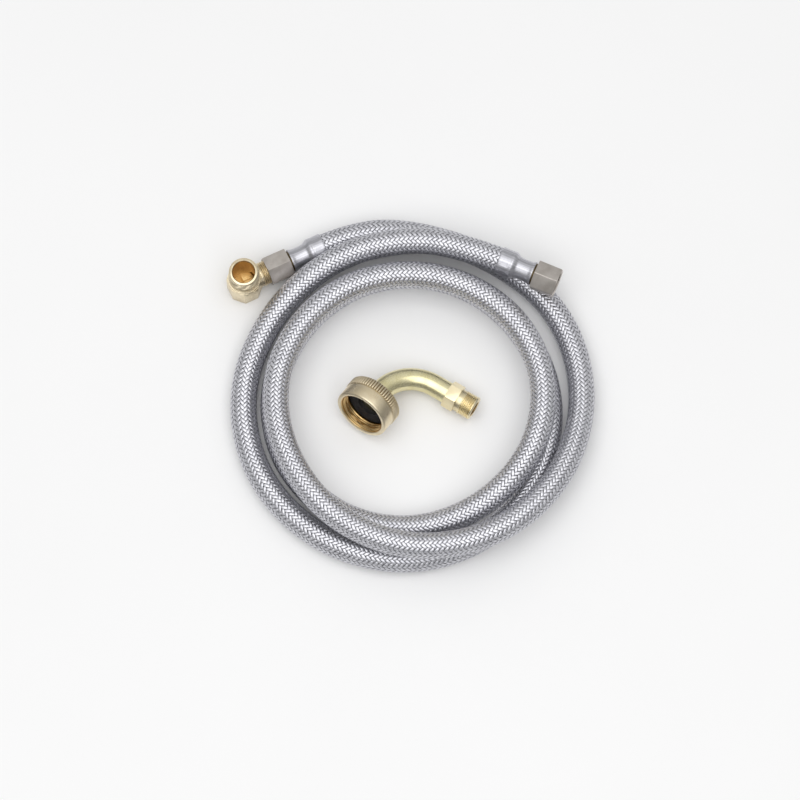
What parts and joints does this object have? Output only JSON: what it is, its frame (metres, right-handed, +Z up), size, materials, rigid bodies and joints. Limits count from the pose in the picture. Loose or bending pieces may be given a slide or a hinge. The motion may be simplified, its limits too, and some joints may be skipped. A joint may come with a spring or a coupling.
{
  "type": "braided supply line",
  "caption": "Coiled braided steel water supply line with crimp ferrules, swivelling compression nuts, a brass pipe elbow on its inlet, and a loose brass garden-hose elbow.",
  "frame": {"origin": "centre of the footprint's bounding box, on the surface that the coil lies on", "axes": "+Z up, square to the surface that the coil lies on; -Y is the front, the side it is viewed from; +X is to the right, so the pipe elbow is at the back left and the free nut at the back right"},
  "size_m": [0.2108, 0.2082, 0.0358],
  "materials": {
    "steel_braid": "woven stainless wire, satin",
    "steel_ferrule": "drawn stainless, bright",
    "nickel_nut": "satin nickel plating, warm grey",
    "brass": "satin machined brass",
    "inner_tube": "matt",
    "rubber": "matt black"
  },
  "bodies": {
    "hose": {"hose_braid": "steel_braid", "hose_inner_tube": "inner_tube", "left_ferrule": "steel_ferrule", "left_insert": "brass", "left_cone_washer": "rubber", "right_ferrule": "steel_ferrule", "right_insert": "brass", "right_cone_washer": "rubber"},
    "left_nut": {"left_hex_nut": "nickel_nut"},
    "inlet_elbow": {"pipe_elbow": "brass"},
    "right_nut": {"right_hex_nut": "nickel_nut"},
    "loose_elbow": {"adapter_tube": "brass", "adapter_male_end": "brass"},
    "loose_elbow_nut": {"adapter_swivel_nut": "brass", "adapter_washer": "rubber"}
  },
  "joints": [
    {"name": "left_nut_turn", "type": "hinge", "parent": "hose", "child": "left_nut", "pos_m": [-0.07588, 0.07562, 0.0095], "axis": [-0.9063, -0.4226, 0], "continuous": true},
    {"name": "inlet_elbow_aim", "type": "hinge", "parent": "hose", "child": "inlet_elbow", "pos_m": [-0.0951, 0.06667, 0.0095], "axis": [-0.9063, -0.4226, 0], "range_deg": [-45, 180]},
    {"name": "right_nut_turn", "type": "hinge", "parent": "hose", "child": "right_nut", "pos_m": [0.07748, 0.06389, 0.0248], "axis": [0.9205, -0.3907, 0], "continuous": true},
    {"name": "loose_elbow_lift", "type": "slide", "parent": "hose", "child": "loose_elbow", "axis": [0, 0, 1], "range_m": [0, 0.08]},
    {"name": "garden_hose_nut_turn", "type": "hinge", "parent": "loose_elbow", "child": "loose_elbow_nut", "pos_m": [-0.0236, -0.00881, 0.01792], "axis": [-0.5576, -0.7665, 0.3187], "continuous": true}
  ]
}
